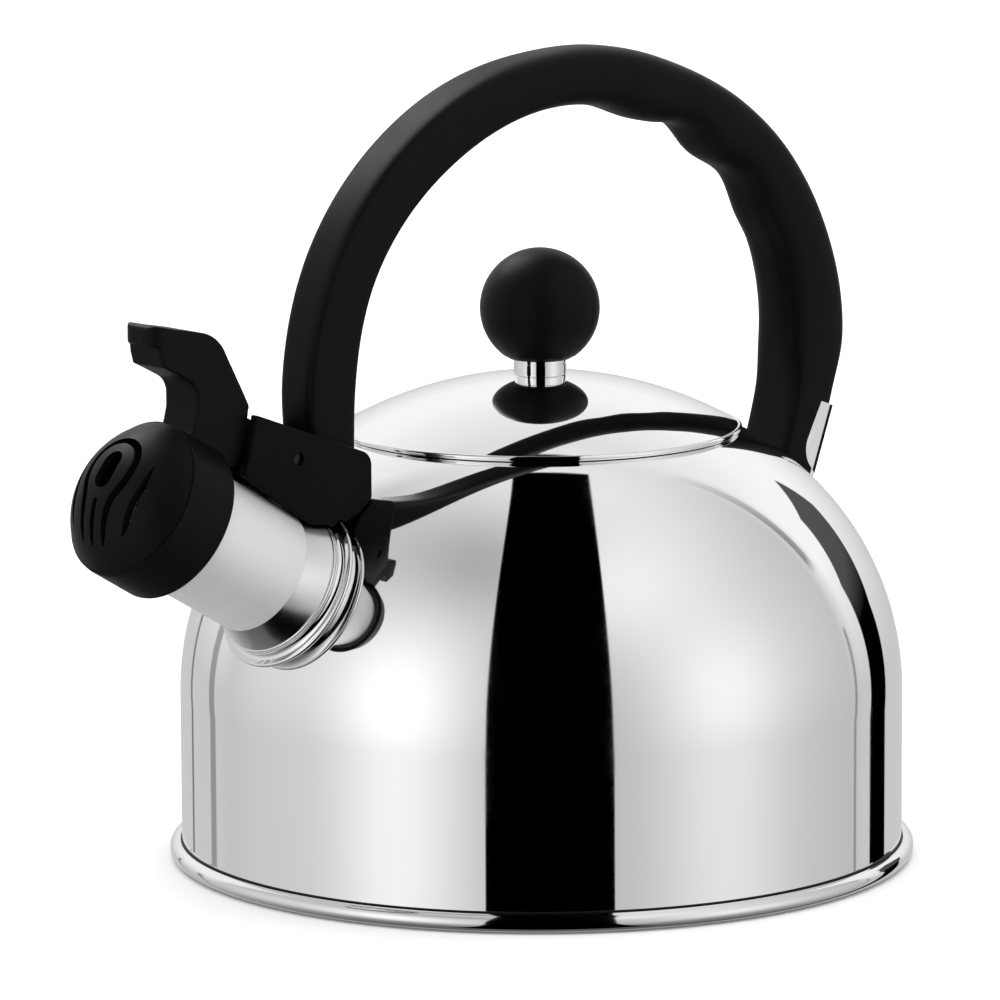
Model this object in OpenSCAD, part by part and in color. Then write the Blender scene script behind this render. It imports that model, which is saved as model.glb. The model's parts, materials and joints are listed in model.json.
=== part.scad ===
// Stovetop whistling kettle: a domed steel body with a lift-off lid, an arched
// handle over the top, and a spout closed by a hinged whistle cap.
// Millimetres. The origin is the centre of the flat base, +Z is up, the spout
// points along -X and the handle stands in the XZ plane.

/* [Body] */
// Radius of the straight wall of the body
body_r = 92; // [90:0.5:94]
// Height at which the wall turns into the domed shoulder
shoulder_z = 43; // [41:0.5:45]
// Radius of the shoulder's arc
shoulder_r = 73.5; // [73:0.25:74]
// Thickness of the steel sheet
sheet = 0.8; // [0.7:0.1:1]
// Radius of the round seam bead at the foot of the body
bead_r = 2.2; // [2:0.1:2.4]

/* [Base] */
// Radius of the cap under the heat-spreading disc
base_r = 80; // [70:1:84]
// Thickness of the aluminium disc
spreader_t = 2.8; // [2.4:0.1:3]

/* [Spout] */
// Angle of the spout above the level
spout_tilt = 30; // [29:0.5:31]
// Outside radius of the spout tube
tube_r = 16.2; // [16:0.1:16.4]
// Length of the spout tube in front of the shell
tube_len = 45; // [44.5:0.1:45]
// Radius of the collar's outer edge
collar_r = 21.4; // [21:0.1:21.6]

/* [Whistle cap] */
// Outside radius of the cap's skirt
skirt_r = 20.4; // [20.4:0.1:20.6]
// Where the skirt starts, along the spout
skirt_start = 42; // [41.5:0.5:42.5]
// Where the dome meets the skirt, along the spout
seam_at = 56.5; // [56:0.5:57]
// Radius of the cap's dome
dome_r = 24.2; // [24:0.1:24.6]
// Width of the finger hook and its arm
hook_w = 12.8; // [11:0.2:13]
// Diameter of the hinge pin
pin_d = 3.2; // [3:0.1:3.4]

/* [Lid] */
// Radius of the lid, outside its rolled rim
lid_r = 51.2; // [50.8:0.1:51.4]
// Radius of the lid's dome
lid_dome_r = 102; // [101:0.5:104]
// Radius of the round knob
knob_r = 15.2; // [14:0.1:16]

/* [Handle] */
// Width of the handle at its front end
handle_w_front = 12.8; // [12:0.2:13]
// Width of the handle along the grip and at its rear end
handle_w_rear = 18.4; // [17.6:0.2:19]
// Half the width of the gap between the two cheeks of the bracket
cheek_in = 7; // [6.9:0.1:7.1]
// Thickness of each cheek
cheek_t = 2.8; // [2.4:0.1:3]

/* [Hidden] */
$fn = 96;
eps = 0.01;

// Body and neck
arc_x = body_r - shoulder_r;
neck_r = 47;
neck_z = 104;
floor_z = sheet + spreader_t;
floor_t = 0.8;
bead_x = 95 - bead_r;
bead_z = 2.6;
shell_foot_z = 3;
pad_t = 1.2;

// Spout: s runs along its axis from the shell's surface, and the axis passes a
// little below the centre of the shoulder's arc
spout_drop = 1.2;
root_x = arc_x + shoulder_r * cos(spout_tilt) + spout_drop * sin(spout_tilt);
root_z = shoulder_z + shoulder_r * sin(spout_tilt) - spout_drop * cos(spout_tilt);
tube_wall = 0.8;
flare_s = 11.7;
flare_foot_s = 4.6;
flare_foot_r = 18.4;

// Inside the whistle cap, along the spout
cap_bore_r = skirt_r - 1.9;
seal_gap = 0.3;
seal_t = 2;
plate_t = 0.8;
seal_s = tube_len + seal_gap;
cup_s = seal_s + seal_t;
disc_s = cup_s + 4.3;
chamber_r = 10;
whistle_hole_r = 2.8;

// Hinge: the pin's axis is parallel to Y
pin_x = -87.4;
pin_z = 112.7;
knuckle_r = 4.4;
knuckle_w = 6.4;
pin_len = 2 * (cheek_in + cheek_t) - 2;

// Handle: stations round its centre, each [angle, outer radius, inner radius, half
// width, squareness of the section]. The inner radius holds the finger grooves.
handle_c = [6.5, 118];
front_w = handle_w_front / 2;
rear_w = handle_w_rear / 2;
stations = [
    [196, 89.6, 74.6, front_w, 6],
    [184, 86.9, 72.3, front_w, 6],
    [172, 88.0, 72.2, front_w + 0.1, 6],
    [150, 89.1, 74.4, front_w + 0.7, 6],
    [120, 88.2, 73.7, front_w + 1.4, 5],
    [96, 87.8, 73.5, rear_w - 0.8, 3.2],
    [82, 88.7, 73.3, rear_w - 0.5, 2.8],
    [72, 89.3, 72.2, rear_w - 0.3, 2.6],
    [66, 89.8, 73.2, rear_w - 0.2, 2.5],
    [59, 90.8, 75.9, rear_w - 0.2, 2.5],
    [50, 92.6, 74.1, rear_w - 0.1, 2.5],
    [40, 94.2, 77.4, rear_w, 2.5],
    [31, 95.4, 75.6, rear_w, 2.5],
    [24, 95.9, 76.1, rear_w, 2.5],
    [12, 96.5, 74.8, rear_w, 2.5],
    [4, 94.9, 74.3, rear_w, 3.1],
    [-4, 90.1, 75.2, rear_w - 0.2, 5],
    [-12, 87.4, 74.6, rear_w - 0.4, 7],
    [-20, 86.2, 74.0, rear_w - 0.4, 7],
    [-34, 88.0, 73.5, rear_w - 0.4, 7]
];
foot_front_x = -79.8;
foot_rear_x = -66.4;
foot_z = 101.5;
foot_gap = 0.6;
web_t = 2;
strap_top = [96.3, 112];
strap_lean = 20.7;
strap_t = 1.4;
strap_w = 2 * rear_w - 0.8;
strap_len = 44;

// Screws
screw_z = 104.5;
screw_r = 2;
rear_screw_at = -17;
rear_screw_len = 10;
head_r = 3.6;
head_gap = 0.05;

// Lid
lid_rim_r = 0.7;
lid_gap = 0.15;
lid_rim_x = lid_r - lid_rim_r;
lid_rim_z = shoulder_z + sqrt(pow(shoulder_r + lid_rim_r + lid_gap, 2) - pow(lid_rim_x - arc_x, 2));
lid_top_z = 123.9;
lid_c_z = lid_top_z - lid_dome_r;
ferrule_r = 6.75;
knob_foot_z = 127.6;
knob_z = 140.6;
insert_r = 4;
insert_len = 10.5;
washer_t = 1;
washer_gap = 0.14;
washer_z = lid_top_z - sheet - washer_t - washer_gap;

// Points along an arc, from angle a0 to angle a1, in n steps
function arc(c, r, a0, a1, n) =
    [for (i = [0 : n]) c + r * [cos(a0 + (a1 - a0) * i / n), sin(a0 + (a1 - a0) * i / n)]];

// Slope of column c of the stations at row k
function station_slope(k, c) =
    let (
        p = stations[max(k - 1, 0)],
        q = stations[min(k + 1, len(stations) - 1)]
    )
    (q[c] - p[c]) / (q[0] - p[0]);

// Column c of the stations at angle a, on a smooth curve through them
function station_at(a, c) =
    let (
        k = min(len([for (row = stations) if (row[0] > a) 1]), len(stations) - 1) - 1,
        i = max(k, 0),
        p = stations[i],
        q = stations[i + 1],
        w = q[0] - p[0],
        u = (a - p[0]) / w,
        ease = u * u * (3 - 2 * u)
    )
    p[c] + (q[c] - p[c]) * ease
        + w * u * (1 - u) * ((1 - u) * station_slope(i, c) - u * station_slope(i + 1, c));

// cos or sin of a section's angle, pushed out towards a rectangle
function squared(v, n) = sign(v) * pow(abs(v), 2 / n);

// Turns a shape drawn along +Z into the spout's own direction, s along Z, up along X
module along_spout() {
    translate([-root_x, 0, root_z])
        rotate([0, spout_tilt - 90, 0])
            children();
}

// Draws a flat outline in the XZ plane, w wide in Y, centred on the plane
module in_plane(w) {
    rotate([90, 0, 0])
        linear_extrude(height = w, center = true)
            children();
}

// A straight round bar along X
module bar_x(x0, x1, z, r) {
    translate([x0, 0, z])
        rotate([0, 90, 0])
            cylinder(r = r, h = x1 - x0);
}

// Half section of the body's outside grown by g, solid to the axis
module body_half(g) {
    square([body_r + g, shoulder_z]);
    translate([0, shoulder_z])
        intersection() {
            translate([arc_x, 0]) circle(r = shoulder_r + g);
            square([body_r + g, shoulder_r + g]);
        }
}

module body_solid(g) {
    rotate_extrude() body_half(g);
}

// A strip of sheet that lies on the shoulder between the radii x0 and x1, w wide
module weld_pad(x0, x1, w) {
    a = asin(w / (x0 + x1));
    rotate([0, 0, -a])
        rotate_extrude(angle = 2 * a)
            intersection() {
                difference() {
                    translate([arc_x, shoulder_z]) circle(r = shoulder_r + pad_t);
                    translate([arc_x, shoulder_z]) circle(r = shoulder_r);
                }
                translate([x0, shoulder_z]) square([x1 - x0, shoulder_r + 2]);
            }
}

module body_shell() {
    color("gainsboro")
        difference() {
            rotate_extrude()
                difference() {
                    body_half(0);
                    // the inside, less the turned-down neck that centres the lid
                    difference() {
                        body_half(-sheet);
                        translate([neck_r, neck_z]) square([sheet, 20]);
                    }
                    square([neck_r, 130]);
                    square([body_r + 1, shell_foot_z]);
                }
            along_spout() translate([0, 0, -20]) cylinder(r = tube_r, h = 40);
        }
}

module base_pan() {
    color("gainsboro")
        difference() {
            rotate_extrude()
                union() {
                    translate([bead_x, bead_z]) circle(r = bead_r);
                    translate([0, floor_z]) square([body_r - sheet, floor_t]);
                }
            // groove that takes the foot of the shell
            translate([0, 0, shell_foot_z])
                difference() {
                    cylinder(r = body_r, h = 10);
                    translate([0, 0, -1]) cylinder(r = body_r - sheet, h = 12);
                }
        }
}

module heat_spreader() {
    color("silver")
        translate([0, 0, sheet]) cylinder(r = base_r - 1, h = spreader_t);
}

module base_cap() {
    edge = 1.2;
    color("gainsboro")
        rotate_extrude()
            difference() {
                union() {
                    square([base_r - edge, floor_z]);
                    translate([0, edge]) square([base_r, floor_z - edge]);
                    translate([base_r - edge, edge]) circle(r = edge);
                }
                translate([-1, sheet]) square([base_r, floor_z]);
            }
}

module spout_tube() {
    r_in = tube_r - tube_wall;
    lip = 0.4;
    color("lightgray")
        along_spout()
            difference() {
                rotate_extrude()
                    union() {
                        translate([r_in, -2]) square([tube_wall, tube_len + 2 - lip]);
                        translate([r_in + lip, tube_len - lip]) circle(r = lip);
                    }
                // the foot ends flush with the inside of the shell
                translate([0, 0, -60 - sheet]) cylinder(r = 30, h = 58);
            }
}

// The collar: a cone-like flare from the tube, a fine double bead and a wide edge
// that stands off the shoulder, with a recess under it
module collar_half() {
    edge_r = 0.6;
    recess_r = flare_foot_r + 0.1;
    rise = flare_foot_r - tube_r;
    run = flare_s - flare_foot_s;
    flare_r = (rise * rise + run * run) / (2 * rise);
    difference() {
        translate([tube_r, -6]) square([flare_foot_r - tube_r, flare_s + 6]);
        translate([tube_r + flare_r, flare_s]) circle(r = flare_r);
    }
    for (k = [0 : 1])
        translate([flare_foot_r, flare_foot_s - 0.5 - k]) circle(r = 0.5);
    polygon([
        [tube_r, -6], [recess_r, -6], [recess_r, -0.2], [collar_r - edge_r, 0.4],
        [collar_r - edge_r, 1.2], [flare_foot_r + 0.3, 3.1], [flare_foot_r, 4.1], [tube_r, 4.1]
    ]);
    translate([collar_r - edge_r, 0.9]) circle(r = edge_r);
}

// Room for the collar and the tube, for cutting the bracket
module collar_room() {
    gap = 0.3;
    polygon([
        [0, -6], [collar_r + gap, -6], [collar_r + gap, 1.6], [flare_foot_r + 0.5 + gap, 3],
        [flare_foot_r + 0.5 + gap, 4.8], [tube_r + gap, flare_s], [tube_r + gap, 55], [0, 55]
    ]);
}

module spout_collar() {
    color("gainsboro")
        difference() {
            along_spout() rotate_extrude() collar_half();
            body_solid(0);
        }
}

// L-shaped strap, welded to the shoulder behind the collar
module front_strap() {
    w = 2 * (cheek_in - 0.4);
    plate_x = foot_rear_x + 0.2;
    top_z = 112;
    color("silver")
        union() {
            rotate([0, 0, 180]) weld_pad(-plate_x - strap_t, -plate_x + 2.6, w);
            difference() {
                translate([plate_x, -w / 2, shoulder_z]) cube([strap_t, w, top_z - shoulder_z]);
                body_solid(pad_t / 2);
                bar_x(plate_x - 1, plate_x + strap_t + 1, screw_z, screw_r);
            }
        }
}

// Moves a shape into the rear strap's own frame: Z up along it, X outward
module at_rear_strap() {
    translate([strap_top[0], 0, strap_top[1]])
        rotate([0, strap_lean, 0])
            children();
}

// The channel's shape: a web across the back and a flange on each side. The same
// shape, grown by side_gap and made longer, is cut from the handle's foot.
module channel(len, outward, side_gap) {
    top = -6;
    half_w = strap_w / 2;
    translate([-strap_t, -half_w - side_gap, -len])
        cube([strap_t + outward, 2 * (half_w + side_gap), len + top]);
    for (m = [0, 1])
        mirror([0, m, 0])
            translate([0, half_w - strap_t / 2 + side_gap / 2, 0])
                in_plane(strap_t + side_gap)
                    polygon(concat([[0, top], [-4.3, top]], arc([1.6, -17], 7.1, 175, 255, 6), [[0, -24]]));
}

// The rear screw's shape, along -X from its flat head
module rear_screw_shape(len, gap) {
    rotate([0, -90, 0])
        union() {
            translate([0, 0, -gap]) cylinder(r1 = head_r + gap, r2 = screw_r, h = head_r - screw_r + gap);
            cylinder(r = screw_r, h = len);
        }
}

// Pressed steel channel that holds the rear foot, welded to the shoulder
module rear_strap() {
    pad_low = 80.5;
    pad_high = 87;
    color("gainsboro")
        union() {
            weld_pad(pad_low, pad_high, strap_w);
            difference() {
                at_rear_strap()
                    difference() {
                        channel(strap_len, 0, 0);
                        translate([0, 0, rear_screw_at]) rear_screw_shape(rear_screw_len, head_gap);
                    }
                body_solid(pad_t / 2);
            }
        }
}

// Side outline of one cheek of the bracket
module cheek_outline() {
    corner = 4;
    difference() {
        polygon(concat(
            [[-99.6, 124], [-104.3, 110.4], [-79, 92.6], [-64.1, 98.6]],
            arc([-64.1 - corner, 108.6], corner, 0, 72, 6)
        ));
        translate([pin_x, pin_z]) circle(r = pin_d / 2);
    }
}

module hinge_bracket() {
    floor_from = 8.6;
    color("#1c1c1c")
        difference() {
            union() {
                for (m = [0, 1])
                    mirror([0, m, 0])
                        translate([0, cheek_in + cheek_t / 2, 0])
                            in_plane(cheek_t) cheek_outline();
                // floor over the spout tube
                along_spout()
                    translate([17, -cheek_in - 1, floor_from])
                        cube([1.8, 2 * cheek_in + 2, 25 - floor_from]);
                // wall clamped between the screw's head and the handle
                translate([foot_front_x - web_t, -cheek_in - 1, 97]) cube([web_t, 2 * cheek_in + 2, 11]);
            }
            along_spout() rotate_extrude() collar_room();
            body_solid(foot_gap);
            bar_x(foot_front_x - web_t - 1, foot_front_x + 1, screw_z, screw_r);
        }
}

// One closed ring of the handle's surface at angle a
function handle_ring(a, sides) =
    let (
        outer = station_at(a, 1),
        inner = station_at(a, 2),
        half_w = station_at(a, 3),
        n = station_at(a, 4),
        mid = (outer + inner) / 2,
        half_t = (outer - inner) / 2
    )
    [
        for (j = [0 : sides - 1])
            let (
                turn = 360 * (j + 0.5) / sides,
                r = mid + half_t * squared(cos(turn), n)
            )
            [
                handle_c[0] + r * cos(a),
                half_w * squared(sin(turn), n),
                handle_c[1] + r * sin(a)
            ]
    ];

// Side faces of a tube of rings, then its two end faces
function tube_faces(rings, sides) = concat(
    [
        for (k = [0 : rings - 2])
            for (j = [0 : sides - 1])
                let (a = k * sides + j, b = k * sides + (j + 1) % sides)
                [a, b, b + sides, a + sides]
    ],
    [[for (j = [sides - 1 : -1 : 0]) j]],
    [[for (j = [0 : sides - 1]) (rings - 1) * sides + j]]
);

module handle_sweep() {
    sides = 16;
    rings = 72;
    first = stations[0][0];
    last = stations[len(stations) - 1][0];
    points = [
        for (k = [0 : rings - 1])
            each handle_ring(first + (last - first) * k / (rings - 1), sides)
    ];
    polyhedron(points = points, faces = tube_faces(rings, sides));
}

module handle_grip() {
    side = 30;
    color("#161616")
        difference() {
            handle_sweep();
            body_solid(foot_gap + pad_t);
            // the front foot is flat below and where the bracket and the strap touch it
            translate([foot_front_x - side, -side / 2, foot_z - side]) cube([2 * side, side, side]);
            translate([foot_front_x - side, -side / 2, foot_z - 1]) cube([side, side, 8]);
            translate([foot_rear_x, -side / 2, foot_z - 1]) cube([side, side, 12]);
            bar_x(foot_front_x - 1, foot_rear_x + 1, screw_z, screw_r);
            at_rear_strap() {
                channel(strap_len + 10, 10, 1);
                bar_x(-rear_screw_len, 5, rear_screw_at, screw_r);
            }
        }
}

// A pan-head screw along +Z: the head's flat face lies at z = 0
module pan_screw(len, head_r, head_h) {
    difference() {
        union() {
            cylinder(r = screw_r, h = len);
            translate([0, 0, -head_h]) cylinder(r = head_r, h = head_h);
        }
        for (a = [0, 90])
            rotate([0, 0, a])
                translate([-2, -0.4, -head_h - 1]) cube([4, 0.8, 2]);
    }
}

module front_handle_screw() {
    color("silver")
        translate([foot_front_x - web_t, 0, screw_z])
            rotate([0, 90, 0])
                pan_screw(17.4, 3, 2.2);
}

module rear_handle_screw() {
    color("silver")
        at_rear_strap()
            translate([0, 0, rear_screw_at])
                difference() {
                    rear_screw_shape(rear_screw_len, 0);
                    for (a = [0, 90])
                        rotate([a, 0, 0])
                            translate([-0.7, -2, -0.4]) cube([2, 4, 0.8]);
                }
}

module hinge_pin() {
    color("silver")
        translate([pin_x, 0, pin_z])
            rotate([90, 0, 0])
                cylinder(d = pin_d, h = pin_len, center = true);
}

// Torsion spring round the pin: one leg stands on the bracket's floor, the other
// points at the cap's arm and pushes it shut
module torsion_spring() {
    wire = 0.4;
    coil_r = 2.9;
    turn = 70 + 3 * 360;
    near_y = knuckle_w / 2 + 0.7;
    pitch = 0.8;
    floor_leg = 10.4;
    arm_leg = 14.8;
    n = 54;
    sides = 8;
    angles = [for (k = [0 : n]) turn * k / n];
    out = [for (a = angles) [cos(a), 0, sin(a)]];
    ahead = [for (a = angles) [-sin(a), 0, cos(a)]];
    coil = [for (k = [0 : n]) coil_r * out[k] + [0, near_y + pitch * turn / 360 * (1 - k / n), 0]];
    path = concat([coil[0] - floor_leg * ahead[0]], coil, [coil[n] + arm_leg * ahead[n]]);
    side = concat([out[0]], out, [out[n]]);
    points = [
        for (k = [0 : n + 2])
            for (j = [0 : sides - 1])
                path[k] + wire * (cos(360 * j / sides) * side[k] + sin(360 * j / sides) * [0, 1, 0])
    ];
    color("silver")
        translate([pin_x, 0, pin_z])
            polyhedron(points = points, faces = tube_faces(n + 3, sides));
}

// Side outline of the finger hook, its arm and the tongue that reaches the pin
module hook_outline() {
    polygon(concat(
        [[-129.3, 149.2], [-129.8, 144]],
        [[-127.2, 141.8], [-126.2, 139], [-122, 137]],
        arc([-121, 130.5], 4.8, 62, 0, 5),
        [[-116.2, 122], [-120, 116], [-105.5, 110.6], [-101, 124.6], [-100.2, 126.6]],
        [[-102.9, 132.4]],
        arc([-116.6, 136.2], 9.8, 22, 70, 5),
        [[-122.9, 147.6]]
    ));
}

// The hook seen from above: its tip has round corners
module hook_plan() {
    tip_x = -129.8;
    tip_r = 4.4;
    side_y = hook_w / 2 - tip_r;
    linear_extrude(height = 200)
        union() {
            for (y = [-side_y, side_y])
                translate([tip_x + tip_r, y]) circle(r = tip_r);
            translate([tip_x, -side_y]) square([tip_r, 2 * side_y]);
            translate([tip_x + tip_r, -hook_w / 2]) square([40, hook_w]);
        }
}

module whistle_cap() {
    color("#1a1a1a")
        difference() {
            union() {
                along_spout()
                    rotate_extrude()
                        polygon([
                            [cap_bore_r, skirt_start], [skirt_r - 0.3, skirt_start], [skirt_r, skirt_start + 0.6],
                            [skirt_r - 0.1, seam_at - 0.5], [skirt_r - 0.6, seam_at], [cap_bore_r, seam_at]
                        ]);
                difference() {
                    union() {
                        intersection() {
                            in_plane(hook_w) hook_outline();
                            hook_plan();
                        }
                        // narrow tongue between the cheeks, with the knuckle round the pin
                        in_plane(knuckle_w)
                            union() {
                                translate([pin_x, pin_z]) circle(r = knuckle_r);
                                polygon([
                                    [pin_x + 1.2, pin_z + 4.2], [-101, 125], [-106, 116],
                                    [-103.2, 112.6], [pin_x - 1.6, pin_z - 4.1]
                                ]);
                            }
                    }
                    along_spout() cylinder(r = cap_bore_r + 0.3, h = seam_at + 30);
                    // the arm stops at the seam, so the dome can be snapped in
                    along_spout() translate([0, 0, seam_at]) cylinder(r = skirt_r + 0.4, h = 20);
                }
            }
            translate([pin_x, 0, pin_z])
                rotate([90, 0, 0])
                    cylinder(d = pin_d + 0.1, h = 40, center = true);
        }
}

// A slot of width w with round ends, from point a to point b
module slot(a, b, w) {
    d = b - a;
    for (p = [a, b])
        translate(p) circle(d = w);
    translate(a)
        rotate(atan2(d[1], d[0]))
            translate([0, -w / 2]) square([norm(d), w]);
}

// The vents, seen from the front: up is X
module vents() {
    ring_c = 4.4;
    slot([1.1, 0], [5.7, 0], 5.6);
    difference() {
        translate([ring_c, 0]) circle(r = 8.2);
        translate([ring_c, 0]) circle(r = 6.5);
        translate([ring_c - 12.4, -10]) square([10, 20]);
    }
    slot([-5, 0], [-14.4, 0], 1.6);
    for (m = [0, 1])
        mirror([0, m]) {
            polygon([[2.2, 7.8], [-3.6, 5.4], [-14.6, 4.6], [-14.6, 3.4], [-3.8, 3.9], [1.8, 6.1]]);
            polygon([[7.6, 11.5], [2.5, 12.4], [-3, 11.8], [-11.4, 9.4], [-4, 10.3], [2, 11]]);
        }
}

module cap_dome() {
    wall = 1.8;
    c = seam_at - sqrt(pow(dome_r, 2) - pow(skirt_r - 0.1, 2));
    color("#1a1a1a")
        along_spout()
            difference() {
                rotate_extrude()
                    difference() {
                        union() {
                            intersection() {
                                translate([0, c]) circle(r = dome_r);
                                translate([0, seam_at]) square([skirt_r - 0.4, 20]);
                            }
                            translate([0, seam_at - 2.5]) square([cap_bore_r, 2.6]);
                        }
                        translate([0, c]) circle(r = dome_r - wall);
                        translate([-1, seam_at - 3]) square([skirt_r - 2.5, 3.5]);
                    }
                translate([0, 0, seam_at + 2]) linear_extrude(height = 20) vents();
            }
}

// A flat ring round the spout's axis
module spout_ring(r_in, r_out, s0, t) {
    along_spout()
        translate([0, 0, s0])
            difference() {
                cylinder(r = r_out, h = t);
                translate([0, 0, -1]) cylinder(r = r_in, h = t + 2);
            }
}

module cap_seal() {
    color("dimgray") spout_ring(12.5, cap_bore_r, seal_s, seal_t);
}

module whistle_cup() {
    color("silver")
        union() {
            spout_ring(whistle_hole_r, cap_bore_r, cup_s, plate_t);
            spout_ring(chamber_r - 1, chamber_r, cup_s + plate_t - eps, disc_s - cup_s - plate_t + eps);
        }
}

module whistle_disc() {
    color("silver") spout_ring(whistle_hole_r, chamber_r, disc_s, plate_t);
}

module lid_shell() {
    color("gainsboro")
        difference() {
            rotate_extrude()
                union() {
                    translate([lid_rim_x, lid_rim_z]) circle(r = lid_rim_r);
                    intersection() {
                        difference() {
                            translate([0, lid_c_z]) circle(r = lid_dome_r);
                            translate([0, lid_c_z]) circle(r = lid_dome_r - sheet);
                        }
                        translate([0, neck_z]) square([lid_rim_x, 30]);
                    }
                }
            translate([0, 0, 100]) cylinder(r = screw_r + 0.1, h = 40);
        }
}

module lid_sleeve() {
    r_out = neck_r - 0.4;
    color("gainsboro")
        intersection() {
            rotate_extrude()
                translate([r_out - sheet, 101]) square([sheet, 14]);
            translate([0, 0, lid_c_z]) sphere(r = lid_dome_r - sheet);
        }
}

module knob_ferrule() {
    color("gainsboro")
        difference() {
            union() {
                translate([0, 0, 120]) cylinder(r = ferrule_r, h = knob_foot_z - 120 - 0.8);
                translate([0, 0, knob_foot_z - 0.8]) cylinder(r = ferrule_r - 0.4, h = 0.8);
            }
            translate([0, 0, lid_c_z]) sphere(r = lid_dome_r);
            translate([0, 0, 110]) cylinder(r = screw_r + 0.1, h = 30);
        }
}

module lid_knob() {
    color("#161616")
        difference() {
            translate([0, 0, knob_z]) sphere(r = knob_r);
            translate([-20, -20, knob_foot_z - 20]) cube([40, 40, 20]);
            translate([0, 0, knob_foot_z - 1]) cylinder(r = insert_r, h = insert_len + 1);
        }
}

module knob_insert() {
    color("goldenrod")
        translate([0, 0, knob_foot_z])
            difference() {
                cylinder(r = insert_r, h = insert_len);
                translate([0, 0, -1]) cylinder(r = screw_r, h = insert_len - 1);
            }
}

module knob_washer() {
    color("silver")
        translate([0, 0, washer_z])
            difference() {
                cylinder(r = 5, h = washer_t);
                translate([0, 0, -1]) cylinder(r = screw_r + 0.1, h = washer_t + 2);
            }
}

module knob_screw() {
    color("silver")
        translate([0, 0, washer_z])
            pan_screw(knob_foot_z + 8 - washer_z, 3.8, 2.4);
}

body_shell();
base_pan();
heat_spreader();
base_cap();
spout_tube();
spout_collar();
front_strap();
rear_strap();
hinge_bracket();
handle_grip();
front_handle_screw();
rear_handle_screw();
hinge_pin();
torsion_spring();
whistle_cap();
cap_dome();
cap_seal();
whistle_cup();
whistle_disc();
lid_shell();
lid_sleeve();
knob_ferrule();
lid_knob();
knob_insert();
knob_screw();
knob_washer();
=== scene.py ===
import json
import math

import bmesh
import bpy
from mathutils import Matrix, Vector

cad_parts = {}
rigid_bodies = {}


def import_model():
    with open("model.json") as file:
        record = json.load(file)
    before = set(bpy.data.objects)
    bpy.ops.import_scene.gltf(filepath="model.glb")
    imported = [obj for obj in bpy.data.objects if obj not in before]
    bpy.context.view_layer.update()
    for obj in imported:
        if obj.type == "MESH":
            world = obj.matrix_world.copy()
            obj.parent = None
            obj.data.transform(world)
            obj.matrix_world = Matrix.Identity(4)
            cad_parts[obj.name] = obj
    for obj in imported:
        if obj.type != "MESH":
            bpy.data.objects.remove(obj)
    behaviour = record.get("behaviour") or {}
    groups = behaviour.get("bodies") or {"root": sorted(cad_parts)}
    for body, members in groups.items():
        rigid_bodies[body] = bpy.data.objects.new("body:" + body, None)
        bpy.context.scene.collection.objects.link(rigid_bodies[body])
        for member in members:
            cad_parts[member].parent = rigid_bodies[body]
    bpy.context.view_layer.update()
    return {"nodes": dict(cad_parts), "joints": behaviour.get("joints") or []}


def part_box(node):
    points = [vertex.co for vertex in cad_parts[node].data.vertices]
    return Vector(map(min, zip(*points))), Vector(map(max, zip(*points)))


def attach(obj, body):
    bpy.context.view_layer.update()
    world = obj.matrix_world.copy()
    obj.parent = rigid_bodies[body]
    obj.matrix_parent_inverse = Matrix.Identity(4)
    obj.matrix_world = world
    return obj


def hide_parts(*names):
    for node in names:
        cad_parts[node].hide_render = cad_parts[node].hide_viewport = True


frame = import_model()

# Lengths below are in millimetres and angles in degrees, in the CAD model's frame;
# MM turns them into metres where a mesh is made.
MM = 0.001
STEPS = 288
FULL_TURN = 360

# Sizes that the CAD model's own boxes give, and the handle's half widths
BODY_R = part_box("body_shell")[1].x / MM
BEAD_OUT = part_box("base_pan")[1].x / MM
LID_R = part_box("lid_shell")[1].x / MM
LID_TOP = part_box("lid_shell")[1].z / MM
KNOB_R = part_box("lid_knob")[1].x / MM
KNOB_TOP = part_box("lid_knob")[1].z / MM
KNOB_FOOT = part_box("lid_knob")[0].z / MM
FERRULE_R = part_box("knob_ferrule")[1].x / MM
FRONT_HALF = 6.4
REAR_HALF = 9.2

# Body and lid
SHEET = 0.8
SHOULDER_Z = 43.0
SHOULDER_R = 73.5
ARC_X = BODY_R - SHOULDER_R
BEAD_R = 2.2
BEAD_Z = 2.6
NECK_R = 47.0
NECK_Z = 104.0
LID_DOME_R = 102.0
LID_RIM_R = 0.7
LID_GAP = 0.15
KNOB_Z = KNOB_TOP - KNOB_R

# Spout: s runs along its axis, from the dome's surface outward
TILT = 30.0
DROP = 1.2
TUBE_R = 16.2
TUBE_LEN = 45.0
TUBE_WALL = 0.8
SKIRT_R = 20.4
SKIRT_START = 42.0
SEAM = 56.5
BORE_R = SKIRT_R - 1.9
DOME_R = 24.2
DOME_C = SEAM - math.sqrt(DOME_R ** 2 - (SKIRT_R - 0.1) ** 2)
PIN = [1000 * v for v in frame["joints"][0]["pos_m"]]
PIN_BORE_R = 1.65
# the front end of the handle stands on the bracket here
FRONT_FOOT_X = -79.8


def turn(a):
    """Degrees as radians."""
    return math.radians(a)


def spout_place():
    """Takes a lathe's own frame, s along Z and up along X, to the spout's place."""
    root_x = ARC_X + SHOULDER_R * math.cos(turn(TILT)) + DROP * math.sin(turn(TILT))
    root_z = SHOULDER_Z + SHOULDER_R * math.sin(turn(TILT)) - DROP * math.cos(turn(TILT))
    return Matrix.Translation((-root_x, 0, root_z)) @ Matrix.Rotation(turn(TILT - 90), 4, "Y")


SPOUT = spout_place()
# a lathe's Z along the hinge pin
PIN_PLACE = Matrix.Translation(PIN) @ Matrix.Rotation(turn(90), 4, "X")


# ---------------------------------------------------------------- mesh helpers

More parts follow.
